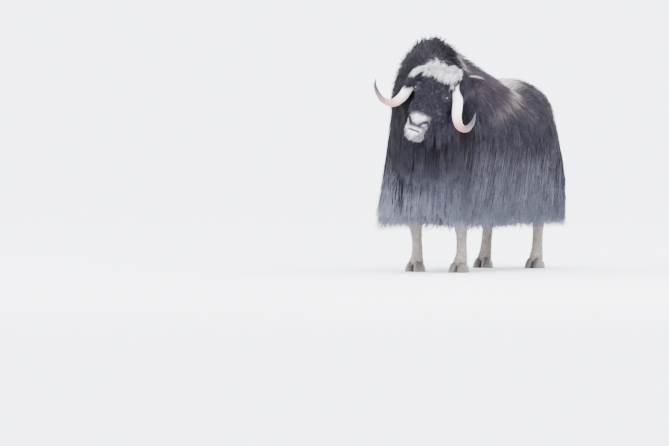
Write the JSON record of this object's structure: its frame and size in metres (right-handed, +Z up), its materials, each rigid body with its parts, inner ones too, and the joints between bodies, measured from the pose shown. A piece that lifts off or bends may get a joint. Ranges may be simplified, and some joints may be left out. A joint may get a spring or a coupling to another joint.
{
  "type": "muskox",
  "caption": "Muskox cow in winter coat, still life-size model, standing with head turned to her left; long skirted coat, mane and downswept horns.",
  "frame": {"origin": "middle of the bounding box, on the floor", "axes": "+Z up; the body lies along Y and faces -Y; her left side is towards +X"},
  "size_m": [0.9206, 1.8404, 1.3255],
  "materials": {
    "guard_hair": "long coarse brown-black guard hair, paler at the saddle and frosted at the skirt",
    "mane": "long near-black mane and beard hair",
    "face_hair": "short dark face hair, white woolly forehead and muzzle",
    "stocking": "short dense pale leg hair",
    "horn": "horn, ivory at the root, pink-brown along the curve, dark at the tip",
    "hoof": "worn dark hoof",
    "eye": "wet, very dark brown eye"
  },
  "bodies": {
    "root": {"torso": "guard_hair", "neck": "mane", "head": "face_hair", "tail": "guard_hair", "horn_left": "horn", "ear_left": "face_hair", "eye_left": "eye", "horn_right": "horn", "ear_right": "face_hair", "eye_right": "eye", "leg_front_left": "stocking", "hoof_front_left": "hoof", "leg_front_right": "stocking", "hoof_front_right": "hoof", "leg_hind_left": "stocking", "hoof_hind_left": "hoof", "leg_hind_right": "stocking", "hoof_hind_right": "hoof"}
  },
  "joints": []
}
